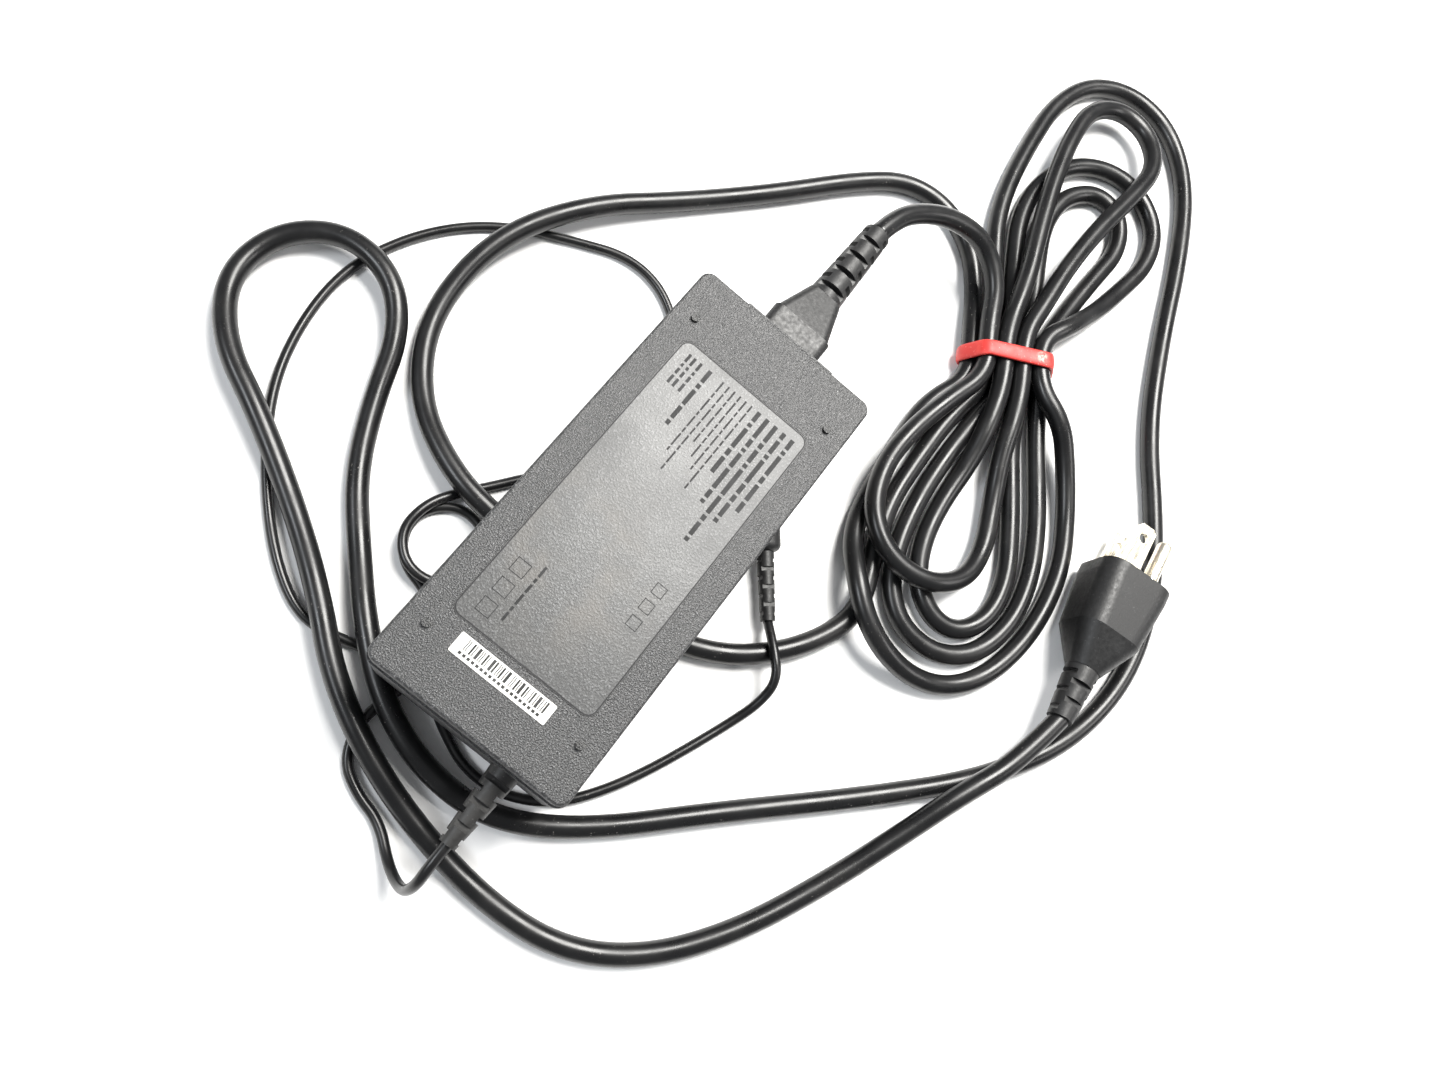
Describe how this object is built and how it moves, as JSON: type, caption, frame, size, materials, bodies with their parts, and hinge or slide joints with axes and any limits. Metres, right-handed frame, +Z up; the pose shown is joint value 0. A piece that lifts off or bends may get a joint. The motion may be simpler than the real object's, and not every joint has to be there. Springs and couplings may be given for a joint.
{
  "type": "desktop power supply",
  "caption": "Flat black desktop power supply for powered network gear, its thick mains lead partly tied in a hank and its thin DC lead lying in loops.",
  "frame": {"origin": "centre of the casing's bounding box", "axes": "+X along the casing towards the mains inlet, +Y to the casing's left seen from the inlet's back, +Z up through the label side"},
  "size_m": [0.3594, 0.2784, 0.042],
  "materials": {
    "casing_plastic": "spark-eroded texture, charcoal",
    "label_film": "smooth satin film, dark grey",
    "paper_label": "white paper with printed bars",
    "inlet_plastic": "satin black",
    "cord_vinyl": "glossy black vinyl",
    "moulded_vinyl": "satin black vinyl",
    "grey_vinyl": "satin dark grey vinyl",
    "tie_rubber": "matt coral red",
    "pin_brass": "bright stamped brass",
    "blade_metal": "nickel-tinted brass, lightly worn",
    "barrel_metal": "nickel plated",
    "tip_insulator": "black",
    "board_laminate": "tan laminate with traces",
    "sheet_insulator": "thin black film",
    "wire_red": "insulated wire",
    "wire_black": "insulated wire",
    "fuse_ceramic": "glazed ceramic",
    "film_yellow": "moulded yellow box",
    "disc_blue": "dipped blue lacquer",
    "ferrite": "dark ferrite",
    "choke_green": "coated ring core",
    "copper_wire": "enamelled copper",
    "epoxy_black": "moulded epoxy",
    "can_sleeve": "shrink sleeve over an aluminium can",
    "heatsink_alloy": "bare sheet",
    "screw_steel": "zinc plated",
    "bobbin_plastic": "moulded phenolic",
    "winding_tape": "yellow polyester tape",
    "silicone_pad": "soft grey-blue pad"
  },
  "bodies": {
    "supply": {"label_cover": "casing_plastic", "base_shell": "casing_plastic", "rating_label": "label_film", "barcode_label": "paper_label", "inlet_housing": "inlet_plastic", "inlet_pins": "pin_brass", "mains_cord_lead": "cord_vinyl", "mains_hank": "cord_vinyl", "mains_cord_back_loop": "cord_vinyl", "mains_cord_outer_loop": "cord_vinyl", "cord_tie": "tie_rubber", "plug_strain_relief": "moulded_vinyl", "mains_plug_body": "moulded_vinyl", "plug_blades": "blade_metal", "plug_earth_pin": "blade_metal", "dc_strain_relief": "grey_vinyl", "dc_cord": "cord_vinyl", "dc_plug_strain_relief": "moulded_vinyl", "dc_plug_handle": "moulded_vinyl", "dc_plug_barrel": "barrel_metal", "dc_plug_insulator": "tip_insulator", "dc_plug_contact": "pin_brass", "circuit_board": "board_laminate", "insulation_sheet": "sheet_insulator", "inlet_wires": "wire_black", "output_wires": "wire_red", "fuse": "fuse_ceramic", "x_capacitor": "film_yellow", "y_capacitors": "disc_blue", "choke_core": "choke_green", "choke_windings": "copper_wire", "bridge_rectifier": "epoxy_black", "bulk_capacitor": "can_sleeve", "primary_heatsink": "heatsink_alloy", "switching_transistor": "epoxy_black", "transformer_core": "ferrite", "transformer_bobbin": "bobbin_plastic", "transformer_winding": "winding_tape", "controller_chip": "epoxy_black", "optocoupler": "epoxy_black", "secondary_heatsink": "heatsink_alloy", "output_rectifier": "epoxy_black", "heatsink_screws": "screw_steel", "thermal_pads": "silicone_pad", "output_capacitors": "can_sleeve", "output_inductor": "ferrite", "inductor_winding": "copper_wire"},
    "mains_connector": {"mains_connector_body": "moulded_vinyl", "connector_contacts": "pin_brass", "connector_strain_relief": "moulded_vinyl"}
  },
  "joints": [
    {"name": "connector_pull", "type": "slide", "parent": "supply", "child": "mains_connector", "axis": [1, 0, 0], "range_m": [0, 0.015], "deforming": ["mains_cord_lead"]}
  ]
}
